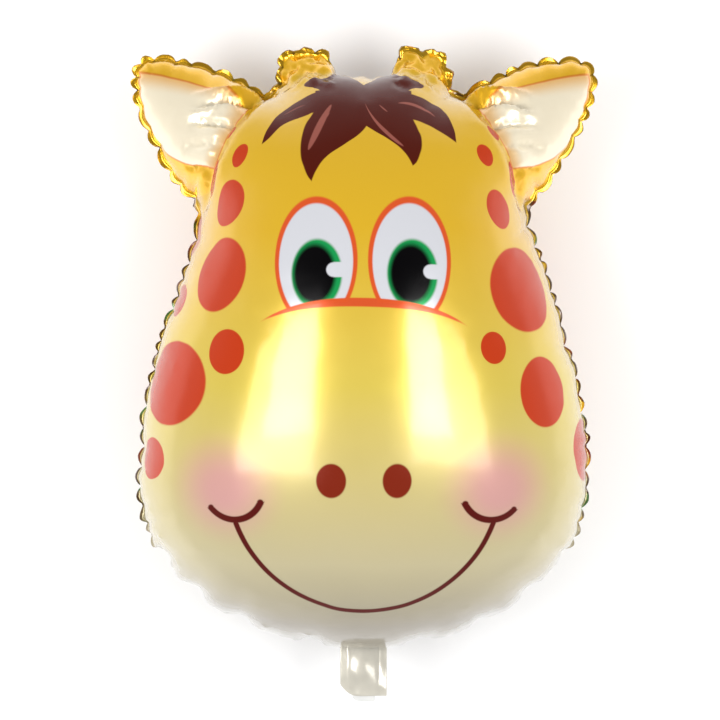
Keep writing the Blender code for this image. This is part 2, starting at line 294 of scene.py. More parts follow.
class Sheet:
    """One flat sheet of foil as triangles, finer near its seam."""

    def __init__(self, seam, fine, coarse):
        self.seam = seam
        rng = np.random.default_rng(3)
        # Spacing of points, and how near the seam and how far from it that holds
        bands = (
            (fine, fine * 0.6, 0.050),
            ((fine + coarse) / 2, 0.052, 0.090),
            (coarse, 0.094, math.inf),
        )
        points = [seam]
        for step, nearest, furthest in bands:
            grid, away = scattered(seam, step, rng)
            points.append(grid[(away > nearest) & (away < furthest)])
        points = np.vstack(points)
        count = len(seam)
        edges = [(i, (i + 1) % count) for i in range(count)]
        flat, _, faces, origins, _, _ = delaunay_2d_cdt(
            [Vector(p) for p in points], edges, [], 1, 1e-7
        )
        self.flat = np.array([tuple(p) for p in flat])
        self.on_seam = np.full(count, -1)
        for vertex, sources in enumerate(origins):
            for source in sources:
                if source < count:
                    self.on_seam[source] = vertex
        self.is_seam = np.zeros(len(self.flat), bool)
        self.is_seam[self.on_seam] = True
        faces = np.array(faces)
        a = self.flat[faces[:, 1]] - self.flat[faces[:, 0]]
        b = self.flat[faces[:, 2]] - self.flat[faces[:, 0]]
        twice = a[:, 0] * b[:, 1] - a[:, 1] * b[:, 0]
        faces[twice < 0] = faces[twice < 0][:, [0, 2, 1]]
        self.faces = faces
        self.area = np.zeros(len(self.flat))
        for corner in range(3):
            np.add.at(self.area, faces[:, corner], np.abs(twice) / 6)
        pairs = np.vstack([faces[:, [0, 1]], faces[:, [1, 2]], faces[:, [2, 0]]])
        self.edges = np.unique(np.sort(pairs, 1), axis=0)
        start, end = self.edges.T
        self.rest = np.linalg.norm(self.flat[end] - self.flat[start], axis=1)
        self.links = np.bincount(start, minlength=len(self.flat)) + np.bincount(
            end, minlength=len(self.flat)
        )
        self.weigh_links()

    def weigh_links(self):
        """Cotangent weights, for smooth fields over the sheet."""
        starts, ends, weights = [], [], []
        for corner in range(3):
            here = self.flat[self.faces[:, corner]]
            one = self.faces[:, (corner + 1) % 3]
            two = self.faces[:, (corner + 2) % 3]
            u, v = self.flat[one] - here, self.flat[two] - here
            cross = np.abs(u[:, 0] * v[:, 1] - u[:, 1] * v[:, 0])
            starts.append(one)
            ends.append(two)
            weights.append(np.maximum((u * v).sum(1) / cross / 2, 0.02))
        self.link_start = np.concatenate(starts)
        self.link_end = np.concatenate(ends)
        self.link_weight = np.concatenate(weights)

    def unevenness(self, values):
        """How far each value is from its neighbours' mean; nothing on the seam."""
        step = self.link_weight * (values[self.link_start] - values[self.link_end])
        total = np.bincount(self.link_start, step, minlength=len(values))
        total -= np.bincount(self.link_end, step, minlength=len(values))
        total[self.is_seam] = 0
        return total

    def settle(self, values, push, rounds=800, near_enough=1e-18):
        """The field that balances a push, with the seam's values held."""
        left = push - self.unevenness(values)
        left[self.is_seam] = 0
        heading = left.copy()
        size = left @ left
        for _ in range(rounds):
            reply = self.unevenness(heading)
            pace = size / (heading @ reply)
            values = values + pace * heading
            left = left - pace * reply
            smaller = left @ left
            if smaller < near_enough:
                break
            heading = left + smaller / size * heading
            size = smaller
        return values

    def gather(self, ids, vectors):
        """The sum of the vectors that belong to each point."""
        return np.stack(
            [np.bincount(ids, vectors[:, k], minlength=len(self.flat)) for k in range(3)], 1
        )

    def cushion(self, seam, depth):
        """A first guess at the filled shape: the sheet rolled towards its seam."""
        swell = self.settle(np.zeros(len(self.flat)), self.area)
        reach = np.sqrt(np.clip(1 - swell / swell.max(), 0, 1))
        full = 2 / math.pi
        bent = full * np.sin(math.pi * reach / 2) - reach
        tiny = 1e-3
        pull = np.where(reach > tiny, bent / np.maximum(reach, tiny) / (full - 1), 0)
        spots = np.zeros((len(self.flat), 3))
        for axis in range(2):
            held = np.zeros(len(self.flat))
            held[self.on_seam] = (seam - self.seam)[:, axis]
            spots[:, axis] = self.flat[:, axis] + pull * self.settle(held, 0 * held)
        spots[:, 2] = depth * np.cos(math.pi * reach / 2)
        return spots

    def push_out(self, spots):
        """The gas's push on each point: the area round it, along its normal."""
        a, b, c = (spots[self.faces[:, k]] for k in range(3))
        share = np.cross(b - a, c - a) / 6
        return sum(self.gather(self.faces[:, k], share) for k in range(3))

    def fill(self, spots, steps, pressure=2e-5, glide=0.95, rounds=10, evening=0.002):
        """Lets the gas out into the foil, which takes no stretch and folds for nothing."""
        start, end = self.edges.T
        lightness = self.area.mean() / self.area
        ease = (2.0 * lightness / self.links)[:, None]
        shared = lightness[start] + lightness[end]
        before = spots.copy()
        for _ in range(steps):
            push = self.push_out(spots)
            move = push / self.area[:, None] * pressure
            move[self.is_seam] *= 2
            spots, before = spots + (spots - before) * glide + move, spots
            for _ in range(rounds):
                span = spots[end] - spots[start]
                length = np.sqrt((span * span).sum(1))
                pull = span * (np.maximum(length - self.rest, 0) / length / shared)[:, None]
                spots = spots + (self.gather(start, pull) - self.gather(end, pull)) * ease
                spots[self.is_seam, 2] = 0
            span = spots[end] - spots[start]
            mean = (self.gather(start, span) - self.gather(end, span)) / self.links[:, None]
            normal = push / np.maximum(np.linalg.norm(push, axis=1), 1e-12)[:, None]
            mean = normal * (mean * normal).sum(1)[:, None]
            mean[self.is_seam] = 0
            spots = spots + evening * mean
        return spots


def even_out(values, times):
    """Smooths values that run round a closed line."""
    for _ in range(times):
        values = (np.roll(values, 1, 0) + 2 * values + np.roll(values, -1, 0)) / 4
    return values


def walk_again(seam, target, step):
    """The same for outlines that are arrays of points."""
    outlines = [[Vector((x, y, 0)) for x, y in line] for line in (seam, target)]
    return walk(*outlines, step)


def fitted_pattern(filled, shape):
    """The flat pattern whose seam lies on the drawn line once it is filled."""
    seam, target = walk([cut_pattern(p, shape) for p in filled], filled, shape.fine_step)
    for _ in range(shape.fittings):
        trial_seam, trial_target = walk_again(seam, target, shape.trial_step)
        trial = Sheet(trial_seam, shape.trial_step, shape.trial_step * TRIAL_COARSENING)
        spots = trial.fill(trial.cushion(trial_target, TRIAL_DEPTH), shape.trial_fill_steps)
        miss = trial_target - spots[trial.on_seam, :2]
        places = np.linspace(0, 1, len(miss) + 1)
        walked = np.cumsum(np.linalg.norm(np.roll(seam, -1, 0) - seam, axis=1))
        walked = np.append(0, walked) / walked[-1]
        move = [
            np.interp(walked[:-1], places, np.append(miss[:, axis], miss[0, axis]))
            for axis in range(2)
        ]
        seam = seam + even_out(np.column_stack(move), times=6)
    return walk_again(seam, target, shape.fine_step)


def outwards(outline):
    """The outward direction at each point of an anticlockwise outline."""
    along = even_out(np.roll(outline, -1, 0) - np.roll(outline, 1, 0), times=2)
    away = np.column_stack([along[:, 1], -along[:, 0]])
    return away / np.linalg.norm(away, axis=1)[:, None]


def between(values, place):
    """Values that run round a closed line, read at a share of its steps."""
    count = len(values)
    low = np.floor(place).astype(int) % count
    share = (place - np.floor(place))[:, None]
    return values[low] * (1 - share) + values[(low + 1) % count] * share


def fade(value, start, end):
    """0 at start, 1 at end, smooth between."""
    share = np.clip((value - start) / (end - start), 0, 1)
    return share * share * (3 - 2 * share)


# The flat pattern on the texture square, the front sheet on its left half and the back sheet
# on its right half: the square's side in metres, and where the chin lies in a half
MAP_SIZE = 1.32
MAP_X, MAP_Y = 0.33, 0.10
FOIL_THICKNESS = 0.0009
SEAM_CREASE = 0.8


def skin_mesh(sheet, spots, margin):
    """Front and back sheet and the sealed edge round them, as one closed mesh."""
    count, ring = len(spots), sheet.on_seam
    turns = len(ring)
    front, back = spots.copy(), spots * (1, 1, -1)
    front[ring, 2], back[ring, 2] = FOIL_THICKNESS / 2, -FOIL_THICKNESS / 2
    seam = spots[ring]
    out = np.column_stack([outwards(seam[:, :2]), np.zeros(turns)])
    flat_out = outwards(sheet.flat[ring])
    points, flats, sides = [front, back], [sheet.flat, sheet.flat], [1, -1]
    shares = [np.zeros(count)] * 2
    for share, lift, side in ((0.5, 1, 1), (0.5, -1, -1), (1.0, 0, 0)):
        points.append(seam + out * margin * share + (0, 0, lift * FOIL_THICKNESS / 2))
        flats.append(sheet.flat[ring] + flat_out * margin * share)
        shares.append(np.full(turns, share))
        sides.append(side)
    sides = np.concatenate([np.full(len(p), k) for p, k in zip(points, sides)])
    pattern = np.column_stack([np.vstack(flats), np.concatenate(shares)])
    points = np.vstack(points)
    here, there = np.arange(turns), np.roll(np.arange(turns), -1)
    upper, lower, rim = (2 * count + turns * row + here for row in range(3))

    def strip(inner, outer):
        return np.column_stack([inner[here], outer[here], outer[there], inner[there]])

    top = np.vstack([strip(ring, upper), strip(upper, rim)])
    bottom = np.vstack([strip(count + ring, lower), strip(lower, rim)])[:, ::-1]
    faces = [*sheet.faces.tolist(), *top.tolist()]
    on_front = len(faces)
    faces += [*(count + sheet.faces[:, [0, 2, 1]]).tolist(), *bottom.tolist()]
    mesh = bpy.data.meshes.new("foil_skin")
    mesh.from_pydata(points.tolist(), [], faces)
    mesh.attributes.new("pattern", "FLOAT_VECTOR", "POINT").data.foreach_set(
        "vector", pattern.ravel()
    )
    mesh.attributes.new("side", "FLOAT", "POINT").data.foreach_set("value", sides)
    corners = np.array([loop.vertex_index for loop in mesh.loops])
    first_back = mesh.polygons[on_front].loop_start
    places = (pattern[corners, :2] + (MAP_X, MAP_Y)) / MAP_SIZE
    places[first_back:, 0] += 0.5
    mesh.uv_layers.new(name="OFBake").data.foreach_set("uv", places.ravel())
    welds = {tuple(sorted(pair)) for pair in zip(ring, np.roll(ring, -1))}
    welds |= {(a + count, b + count) for a, b in welds}
    crease = mesh.attributes.new("crease_edge", "FLOAT", "EDGE")
    for edge in mesh.edges:
        if tuple(sorted(edge.vertices)) in welds:
            crease.data[edge.index].value = SEAM_CREASE
    mesh.shade_smooth()
    return mesh, seam, out


# Small puckers: spread of their pitch and depth, and how far they reach into a sheet
PITCH_SPREAD = (0.72, 1.30)
DEPTH_SPREAD = (0.55, 1.15)
PUCKER_REACH = (0.014, 0.034)
REACH_FACTORS = (1, 1, 1.8)
# They are shallow under the chin and reach less far on ears and horns
CHIN_TOP, CHIN_SHALLOWNESS = 0.11, 0.35
EARS_FROM, EAR_REACH_SHARE = 0.50, 0.6
# Deep folds under the chin
CHIN_FOLD_WIDTH = 0.024
CHIN_FOLD_GAIN = 2.1
CHIN_FOLD_REACH = (0.030, 0.050)
# How a pucker widens away from the seam, and how far the foil beside it swells
PUCKER_WIDENING = 0.050
SWELL_SHARE, SWELL_REACH = 0.30, 0.020
# Over this distance from the seam the relief turns from sideways to up and down
TURN_REACH = 0.014
# How much of the margin is drawn in: at a notch, everywhere but on the horns, down the sides
# of the head, and where it is folded down under the chin and between the horns
NOTCH_PULL, TAB_PULL, SIDE_PULL, FOLDED_PULL, MOST_PULL = 0.45, 0.20, 0.24, 0.77, 0.97
TAB_LIFT, SIDE_TAB_LIFT = 0.0028, 0.0022
FOLDED_DROP = 0.0090
# How softly the foil flattens on the floor
FLOOR_SOFTNESS = 0.0025


def seam_folds(sheet, seam, shape):
    """Where the seam puckers: place on the flat seam, width, depth and reach each side."""
    rng = np.random.default_rng(11)
    turns = len(seam)
    pace = np.linalg.norm(sheet.flat[sheet.on_seam[1]] - sheet.flat[sheet.on_seam[0]])
    length = turns * pace
    places, place = [], 0.0
    while place < length - shape.pucker_pitch * 0.6:
        places.append(place)
        place += shape.pucker_pitch * rng.uniform(*PITCH_SPREAD)
    places = np.array(places) * length / place
    gaps = np.diff(np.append(places, length))
    folds = []
    for i, place in enumerate(places):
        y = seam[int(place / pace) % turns, 1]
        depth = shape.pucker_depth * rng.uniform(*DEPTH_SPREAD)
        reach = rng.uniform(*PUCKER_REACH, 2) * rng.choice(REACH_FACTORS, 2)
        if y < CHIN_TOP:
            depth *= CHIN_SHALLOWNESS
        if y > EARS_FROM:
            reach = reach * EAR_REACH_SHARE
        folds.append((place, gaps[[i - 1, i]].mean() / 2, depth, *reach))
    for x, y in CHIN_FOLDS:
        nearest = np.argmin(np.hypot(seam[:, 0] - x, seam[:, 1] - y))
        depth = shape.pucker_depth * CHIN_FOLD_GAIN
        reach = rng.uniform(*CHIN_FOLD_REACH, 2)
        folds.append((nearest * pace, CHIN_FOLD_WIDTH, depth, *reach))
    return sorted(folds), pace, length


def pucker_relief(folds, length, along, inward, side):
    """How far each point sinks into the puckers, and how deep in a notch of the edge it is."""
    drop, notch = np.zeros(len(along)), np.zeros(len(along))
    for at, width, depth, front_reach, back_reach in folds:
        off = np.abs((along - at + length / 2) % length - length / 2)
        reach = np.where(side >= 0, front_reach, back_reach)
        spread = width * (1 + inward / PUCKER_WIDENING)
        valley = np.clip(1 - off / spread, 0, 1) ** 1.6
        drop += depth * valley * np.exp(-((inward / reach) ** 1.3))
        nearness = np.clip(1 - off / width, 0, 1)
        notch = np.maximum(notch, 1 - np.sqrt(1 - nearness ** 3))
    return drop, notch


def ear_relief(pattern):
    """Height of the valley along an ear's root and of the creases that cross it."""
    places = np.column_stack([np.abs(pattern[:, 0]), pattern[:, 1]])
    across, up = places.T
    heights, reaches = np.array(EAR_ROOT_LINE).T
    from_root = across - np.interp(up, heights, reaches)
    valley = np.exp(-((from_root / ROOT_WIDTH) ** 2)) * fade(up, 0.465, 0.505)
    valley *= 1 - fade(up, 0.635, 0.655)
    rise = -ROOT_DEPTH * valley
    for start, end, half_width, size in EAR_CREASES:
        start, end = np.array(start), np.array(end)
        line = end - start
        offset = places - start
        share = np.clip(offset @ line / (line @ line), 0, 1)
        far = np.hypot(*(offset - share[:, None] * line).T) / half_width
        rise += size * np.clip(1 - far, 0, 1) ** 1.5 * (1 - share ** 3)
    return rise


def dent_horns(spots, normals, crumple):
    """Crumples the small horns."""
    across = np.abs(spots[:, 0])
    horn = fade(spots[:, 1], 0.574, 0.592) * fade(across, 0.028, 0.036)
    horn *= 1 - fade(across, 0.096, 0.106)
    for index in np.nonzero(horn > 0.01)[0]:
        where = Vector(spots[index])
        dent = noise.noise(where * 62) + 0.5 * noise.noise(where * 130 + Vector((5, 1, 2)))
        spots[index] += normals[index] * (dent * crumple * horn[index])


def pucker(mesh, sheet, seam, out, shape):
    """Gathers the seam, shapes its tabs, creases the ears and dents the horns."""
    count = len(mesh.vertices)
    spots, normals, pattern = np.empty((3, count, 3))
    side = np.empty(count)
    mesh.vertices.foreach_get("co", spots.ravel())
    mesh.vertices.foreach_get("normal", normals.ravel())
    mesh.attributes["pattern"].data.foreach_get("vector", pattern.ravel())
    mesh.attributes["side"].data.foreach_get("value", side)
    folds, pace, length = seam_folds(sheet, seam, shape)
    away, place = nearest_on(pattern[:, :2], sheet.flat[sheet.on_seam])
    share = np.clip(pattern[:, 2], 0, 1)
    on_sheet = share < 0.02
    inward = np.where(share > 0.02, 0, away)
    along = place * pace
    outward = between(out, place)
    facing = np.exp(-((inward / TURN_REACH) ** 2))[:, None]
    facing = normals * (1 - facing) + outward * facing
    facing /= np.linalg.norm(facing, axis=1)[:, None]
    drop, notch = pucker_relief(folds, length, along, inward, side)
    lift = shape.pucker_depth * SWELL_SHARE * np.exp(-inward / SWELL_REACH)
    spots += facing * (lift - drop)[:, None]

    rng = np.random.default_rng(5)
    tilt = np.interp(along, [fold[0] + fold[1] for fold in folds],
                     rng.uniform(-1, 1, len(folds)))
    height = between(seam[:, 1:2], place)[:, 0]
    across = np.abs(spots[:, 0])
    crown = (1 - fade(across, 0.030, 0.036)) * fade(height, 0.58, 0.59)
    folded = np.maximum(1 - fade(height, 0.04, 0.14), crown)
    head_side = 1 - fade(height, 0.44, 0.47)
    horns = fade(height, 0.580, 0.592) * (1 - fade(across, 0.094, 0.102))
    pulled = notch * NOTCH_PULL + TAB_PULL * (1 - horns) + head_side * SIDE_PULL
    pulled = np.clip(pulled + folded * FOLDED_PULL, 0, MOST_PULL)
    spots -= outward * (pulled * share * shape.margin)[:, None]
    tab_lift = tilt * (TAB_LIFT + SIDE_TAB_LIFT * head_side) * (1 - folded)
    spots[:, 2] += share * (1 - notch) * tab_lift
    spots[:, 2] -= share * folded * FOLDED_DROP

    spots += normals * (ear_relief(pattern) * on_sheet)[:, None]
    dent_horns(spots, normals, shape.crumple)
    spots += np.array(CHIN)
    over = spots[:, 2]
    spots[:, 2] = (over + np.sqrt(over * over + FLOOR_SOFTNESS ** 2)) / 2
    mesh.vertices.foreach_set("co", spots.ravel())
    for name, values in (("margin_share", share), ("fold_share", notch)):
        mesh.attributes.new(name, "FLOAT", "POINT").data.foreach_set("value", values)
    mesh.update()


def new_object(name, mesh):
    made = bpy.data.objects.new(name, mesh)
    bpy.context.scene.collection.objects.link(made)
    return made


def smoothed(name, mesh):
    """An object of the mesh subdivided once."""
    draft = new_object(name + "_draft", mesh)
    smooth = draft.modifiers.new("smooth", "SUBSURF")
    smooth.levels = smooth.render_levels = 1
    bpy.context.view_layer.update()
    graph = bpy.context.evaluated_depsgraph_get()
    made = new_object(name, bpy.data.meshes.new_from_object(draft.evaluated_get(graph)))
    bpy.data.objects.remove(draft, do_unlink=True)
    return made


class ShaderValue:
    """A shader socket that can be added, multiplied and compared like a number."""

    def __init__(self, graph, socket):
        self.graph = graph
        self.socket = socket

    def _with(self, operation, *others):
        return self.graph.add("ShaderNodeMath", {"operation": operation}, self, *others)

    def __add__(self, other):
        return self._with("ADD", other)

    __radd__ = __add__

    def __sub__(self, other):
        return self._with("SUBTRACT", other)

    def __rsub__(self, other):
        return self.graph.add("ShaderNodeMath", {"operation": "SUBTRACT"}, other, self)

    def __mul__(self, other):
        return self._with("MULTIPLY", other)

    __rmul__ = __mul__

    def __truediv__(self, other):
        return self._with("DIVIDE", other)

    def __abs__(self):
        return self._with("ABSOLUTE")

    def sqrt(self):
        return self._with("SQRT")

    def least(self, other):
        return self._with("MINIMUM", other)

    def most(self, other):
        return self._with("MAXIMUM", other)

    def above(self, level):
        return self._with("GREATER_THAN", level)

    def below(self, level):
        return self._with("LESS_THAN", level)

    def ramp(self, low, high):
        """0 at low and under, 1 at high and over, smooth between."""
        return self.graph.add(
            "ShaderNodeMapRange", {"interpolation_type": "SMOOTHSTEP"}, self, low, high
        )


class ShaderGraph:
    """The nodes of a material or of the world."""

    def __init__(self, owner, shader="Principled BSDF"):
        owner.use_nodes = True
        self.owner = owner
        self.tree = owner.node_tree
        self.shader = self.tree.nodes[shader]

    def add(self, kind, settings, *values, output=0):
        """One node: its settings first, then the values or links of its sockets."""
        node = self.tree.nodes.new(kind)
        for key, value in settings.items():
            if key == "stops":
                self.set_stops(node.color_ramp.elements, value)
            elif key == "curve":
                self.set_curve(node.mapping, value)
            else:
                setattr(node, key, value)
        for socket, value in zip(node.inputs, values):
            if value is not None:
                self.plug(value, socket)
        return ShaderValue(self, node.outputs[output])

    @staticmethod
    def set_stops(elements, stops):
        while len(elements) < len(stops):
            elements.new(1.0)
        for element, (place, colour) in zip(elements, stops):
            element.position = place
            element.color = colour

    @staticmethod
    def set_curve(mapping, points):
        curve = mapping.curves[0]
        while len(curve.points) < len(points):
            curve.points.new(0.5, 0.5)
        for point, place in zip(curve.points, points):
            point.location = place
        mapping.update()

    def plug(self, value, socket):
        if isinstance(value, ShaderValue):
            self.tree.links.new(value.socket, socket)
        else:
            socket.default_value = value

    def set(self, **values):
        for key, value in values.items():
            self.plug(value, self.shader.inputs[key.replace("_", " ")])

    def mix(self, share, first, second):
        """A colour between two colours."""
        unused = [None] * 5
        return self.add(
            "ShaderNodeMix", {"data_type": "RGBA"}, share, *unused, first, second, output=2
        )


def linear(colour):
    """A colour as light, from a colour as it looks on a screen."""
    return [
        level / 12.92 if level <= 0.04045 else ((level + 0.055) / 1.055) ** 2.4
        for level in colour
    ] + [1.0]


def least_of(first, *others):
    """The least of several shader values."""
    for other in others:
        first = first.least(other)
    return first


def most_of(first, *others):
    """The most of several shader values."""
    for other in others:
        first = first.most(other)
    return first


# The print, on the flat sheet. Ovals are middle, half width, half height and lean.
SPOTS = (
    (-0.1294, 0.5195, 0.0082, 0.0130, -33), (-0.1485, 0.4712, 0.0212, 0.0262, -27),
    (-0.1593, 0.3922, 0.0355, 0.0415, -20), (-0.1425, 0.3098, 0.0212, 0.0232, -9),
    (-0.2198, 0.2770, 0.0540, 0.0452, -3), (-0.2450, 0.1940, 0.0250, 0.0228, 0),
    (-0.1784, 0.5060, 0.0100, 0.0230, -38), (-0.1463, 0.5528, 0.0055, 0.0095, -45),
    (-0.2330, 0.4500, 0.0160, 0.0240, -12), (-0.2380, 0.3718, 0.0200, 0.0196, -10),
    (0.1265, 0.5201, 0.0088, 0.0120, 37), (0.1507, 0.4651, 0.0180, 0.0240, 27),
    (0.1790, 0.3773, 0.0462, 0.0470, 15), (0.1335, 0.3138, 0.0148, 0.0166, 9),
    (0.1970, 0.2674, 0.0338, 0.0368, 4), (0.2750, 0.2000, 0.0330, 0.0350, 0),
    (0.1755, 0.5055, 0.0090, 0.0200, 34), (0.1395, 0.5503, 0.0065, 0.0098, 36),
)
BACK_SPOTS = (
    (0.020, 0.335, 0.036, 0.043, 8), (-0.070, 0.200, 0.030, 0.034, -12),
    (0.085, 0.185, 0.022, 0.027, 14), (-0.045, 0.455, 0.024, 0.030, -8),
    (0.075, 0.480, 0.017, 0.022, 16),
)
CHEEKS = ((-0.1414, 0.1724, 0.072, 0.066), (0.1371, 0.1729, 0.072, 0.066))
NOSTRILS = ((-0.0318, 0.1843, 0.0147, 0.0171), (0.0325, 0.1843, 0.0142, 0.0171))
# Across: middle of an eye, of its green ring and of its black; then where the glint is
EYES = (
    (-0.0476, -0.0464, -0.0486, -0.0296, 0.3902),
    (0.0457, 0.0481, 0.0464, 0.0658, 0.3890),
)
# Hooks at the ends of the smile: middle, radius, left and right end, rise
SMILE_ENDS = (
    (-0.1325, 0.1738, 0.0328, -0.0268, 0.0262, 0.17),
    (0.1308, 0.1745, 0.0338, -0.0262, 0.0268, -0.18),
)
# Locks of the forelock: an edge, the edge facing it, and the two ends. The inner locks are
# drawn from left to right as the height changes, the outer ones the other way round.
INNER_LOCKS = (
    (((0.4814, -0.0519), (0.4968, -0.0597), (0.5171, -0.0639), (0.5389, -0.0626),
      (0.5652, -0.0535), (0.580, -0.048)),
     ((0.4814, -0.0519), (0.4944, -0.0467), (0.5070, -0.0384), (0.5228, -0.0184),
      (0.5346, -0.0041), (0.5445, 0.0030)), 0.4812, 0.570),
    (((0.4984, 0.0487), (0.5152, 0.0392), (0.5282, 0.0250), (0.5381, 0.0105),
      (0.5445, 0.0020)),
     ((0.4984, 0.0487), (0.5111, 0.0559), (0.5270, 0.0586), (0.5434, 0.0551),
      (0.5559, 0.0510), (0.580, 0.045)), 0.4982, 0.570),
)
OUTER_LOCKS = (
    (((-0.1047, 0.5276), (-0.1001, 0.5313), (-0.0796, 0.5559), (-0.0584, 0.5641),
      (-0.0536, 0.5662), (-0.030, 0.560)),
     ((-0.1047, 0.5276), (-0.0991, 0.5503), (-0.0847, 0.5790), (-0.0636, 0.5949),
      (-0.0518, 0.5996), (-0.030, 0.603)), -0.1050, -0.035),
    (((0.030, 0.556), (0.0510, 0.5559), (0.0629, 0.5517), (0.0780, 0.5418),
      (0.0950, 0.5290)),
     ((0.030, 0.601), (0.0505, 0.5967), (0.0692, 0.5905), (0.0865, 0.5746),
      (0.0935, 0.5510), (0.0950, 0.5310)), 0.035, 0.0950),
)
TUFT_TOP = ((0.0, 0.6150), (0.010, 0.632), (0.022, 0.652), (0.034, 0.668), (0.070, 0.690))
TUFT_SIDE = (
    (0.590, 0.046), (0.601, 0.0480), (0.6100, 0.0560), (0.6190, 0.0660), (0.6270, 0.0520),
    (0.6370, 0.0400), (0.690, 0.030),
)
# Paler strokes in the forelock: points, half width, drawn across or up, share of ink
HAIR_STROKES = (
    (((-0.0559, 0.5165), (-0.0500, 0.5340), (-0.0430, 0.5540), (-0.0347, 0.5756)),
     0.0042, False, 1.0),
    (((-0.0500, 0.5420), (-0.0420, 0.5540), (-0.0360, 0.5640)), 0.0022, False, 1.0),
    (((0.0010, 0.5760), (0.0108, 0.5530), (0.0251, 0.5345), (0.0400, 0.5205)),
     0.0034, True, 1.0),
    (((0.0162, 0.5748), (0.0200, 0.5700), (0.0248, 0.5644)), 0.0016, True, 1.0),
    (((0.0359, 0.5787), (0.0450, 0.5800), (0.0560, 0.5775), (0.0751, 0.5636)),
     0.0026, True, 1.0),
    (((-0.0853, 0.5692), (-0.0740, 0.5770), (-0.0621, 0.5811)), 0.0014, True, 0.6),
)
# Edges of the cream panel of an ear
PANEL_LOW = (
    (0.130, 0.545), (0.160, 0.514), (0.185, 0.521), (0.2185, 0.538), (0.2435, 0.556),
    (0.2540, 0.576), (0.2590, 0.600),
)
PANEL_TOP = (
    (0.118, 0.594), (0.134, 0.6020), (0.152, 0.6105), (0.172, 0.6175), (0.197, 0.6240),
    (0.2235, 0.6310), (0.2590, 0.6400),
)
PANEL_REACH = 0.2585
# Inks of the coat from the chin to the crown, as shares of COAT_LENGTH from COAT_START
# The chin's grey at the seam is painted shade over the print's off-white
COAT_STOPS = (
    (0.00, "chin"), (0.07, "chin"), (0.19, "jaw"), (0.44, "muzzle"), (0.66, "crown"),
    (1.0, "crown"),
)
COAT_START, COAT_LENGTH = -0.04, 0.72


